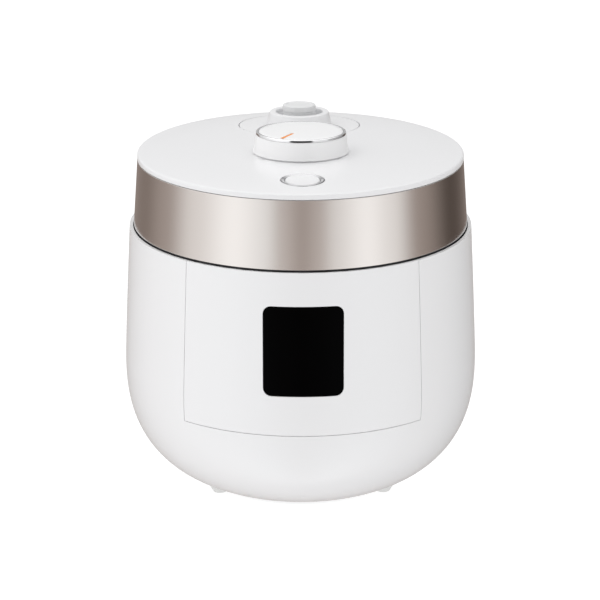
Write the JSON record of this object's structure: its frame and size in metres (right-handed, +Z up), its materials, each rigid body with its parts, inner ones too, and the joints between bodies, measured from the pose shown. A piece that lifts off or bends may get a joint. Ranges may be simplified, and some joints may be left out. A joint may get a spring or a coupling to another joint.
{
  "type": "electric pressure cooker",
  "caption": "Oval electric pressure cooker with a domed lid, metallic band, lock knob, weighted steam vent, open button and black display window.",
  "frame": {"origin": "centre of the footprint on the table, under the middle of the overall box", "axes": "+Z up, the front panel faces -Y, +X to the right seen from the front"},
  "size_m": [0.26, 0.3276, 0.2636],
  "materials": {
    "white_plastic": "glossy white moulded plastic",
    "band": "champagne metallic finish, satin",
    "chrome": "polished",
    "display": "glossy black window",
    "dark_plastic": "fine texture",
    "orange_marker": "satin inlay",
    "pot_coating": "non-stick coating",
    "cast_aluminium": "cast and turned",
    "stainless": "brushed",
    "silicone": "matt silicone",
    "foot_rubber": "matt",
    "copper_winding": "enamelled winding",
    "ferrite": "sintered",
    "circuit_board": "solder mask",
    "heat_resistant_plastic": "matt",
    "clear_plastic": "translucent",
    "brass": "turned"
  },
  "bodies": {
    "base": {"outer_body": "white_plastic", "front_panel": "white_plastic", "display_window": "display", "display_board": "circuit_board", "upper_frame": "dark_plastic", "latch_strike": "stainless", "inner_pot": "pot_coating", "well_liner": "heat_resistant_plastic", "work_coil": "copper_winding", "coil_carrier": "heat_resistant_plastic", "sensor_spring": "stainless", "ferrite_bar_1": "ferrite", "ferrite_bar_2": "ferrite", "ferrite_bar_3": "ferrite", "base_cover": "dark_plastic", "foot_1": "foot_rubber", "foot_2": "foot_rubber", "foot_3": "foot_rubber", "foot_4": "foot_rubber", "base_screw_1": "stainless", "base_screw_2": "stainless", "base_screw_3": "stainless", "base_screw_4": "stainless", "power_board": "circuit_board", "heat_sink": "cast_aluminium", "fan_frame": "dark_plastic", "rear_housing": "white_plastic", "hinge_pin": "stainless", "lid_spring": "stainless", "power_inlet": "dark_plastic", "inlet_pin_1": "brass", "inlet_pin_2": "brass"},
    "temperature_sensor": {"temperature_sensor": "cast_aluminium"},
    "fan_rotor": {"fan_rotor": "dark_plastic"},
    "condensate_cup": {"condensate_cup": "clear_plastic"},
    "lid": {"lid_cover": "white_plastic", "vent_dish": "white_plastic", "lid_band": "band", "lid_frame": "dark_plastic", "pressure_plate": "cast_aluminium", "inner_lid": "stainless", "gasket": "silicone", "steam_nozzle": "stainless", "weight_shroud": "white_plastic", "solenoid": "dark_plastic", "button_ring": "chrome", "button_spring": "stainless", "latch_pin": "stainless", "lid_hinge_bracket": "stainless", "hinge_cover": "white_plastic"},
    "locking_ring": {"locking_ring": "stainless"},
    "lock_knob": {"lock_knob": "white_plastic", "knob_trim_ring": "chrome", "knob_marker": "orange_marker", "knob_pinion": "brass"},
    "open_button": {"open_button": "white_plastic"},
    "latch_hook": {"latch_hook": "stainless"},
    "pressure_weight": {"pressure_weight": "white_plastic"},
    "solenoid_plunger": {"solenoid_plunger": "stainless"},
    "safety_valve": {"safety_valve": "brass"}
  },
  "joints": [
    {"name": "lid_hinge", "type": "hinge", "parent": "base", "child": "lid", "pos_m": [0, 0.13378, 0.186], "axis": [-1, 0, 0], "range_deg": [0, 80]},
    {"name": "locking_ring_turn", "type": "hinge", "parent": "lid", "child": "locking_ring", "pos_m": [0, -0.01623, 0.19], "axis": [0, 0, 1], "range_deg": [-22.5, 0]},
    {"name": "lock_knob_turn", "type": "hinge", "parent": "lid", "child": "lock_knob", "pos_m": [0, -0.04123, 0.25], "axis": [0, 0, 1], "range_deg": [0, 71.5]},
    {"name": "open_button_press", "type": "slide", "parent": "lid", "child": "open_button", "axis": [0, 0, -1], "range_m": [0, 0.003], "stiffness_N_per_m": 500, "springref_m": -0.001, "deforming": ["button_spring"]},
    {"name": "latch_hook_pivot", "type": "hinge", "parent": "lid", "child": "latch_hook", "pos_m": [0, -0.14223, 0.21], "axis": [-1, 0, 0], "range_deg": [0, 9.2]},
    {"name": "pressure_weight_lift", "type": "slide", "parent": "lid", "child": "pressure_weight", "axis": [0, 0, 1], "range_m": [0, 0.005]},
    {"name": "solenoid_plunger_lift", "type": "slide", "parent": "lid", "child": "solenoid_plunger", "axis": [0, 0, 1], "range_m": [0, 0.003], "stiffness_N_per_m": 150, "springref_m": -0.001},
    {"name": "safety_valve_lift", "type": "slide", "parent": "lid", "child": "safety_valve", "axis": [0, 0, 1], "range_m": [0, 0.0015], "stiffness_N_per_m": 400, "springref_m": -0.001},
    {"name": "sensor_press", "type": "slide", "parent": "base", "child": "temperature_sensor", "axis": [0, 0, -1], "range_m": [0, 0.002], "stiffness_N_per_m": 600, "springref_m": -0.002, "deforming": ["sensor_spring"]},
    {"name": "fan_spin", "type": "hinge", "parent": "base", "child": "fan_rotor", "pos_m": [0, 0.01977, 0.018], "axis": [0, 0, 1], "continuous": true},
    {"name": "condensate_cup_slide", "type": "slide", "parent": "base", "child": "condensate_cup", "axis": [0, 1, 0], "range_m": [0, 0.04]}
  ],
  "couplings": [
    {"joint": "lock_knob_turn", "follows": "locking_ring_turn", "ratio": -3.1667},
    {"joint": "latch_hook_pivot", "follows": "open_button_press", "rad_per_m": 52.36}
  ]
}
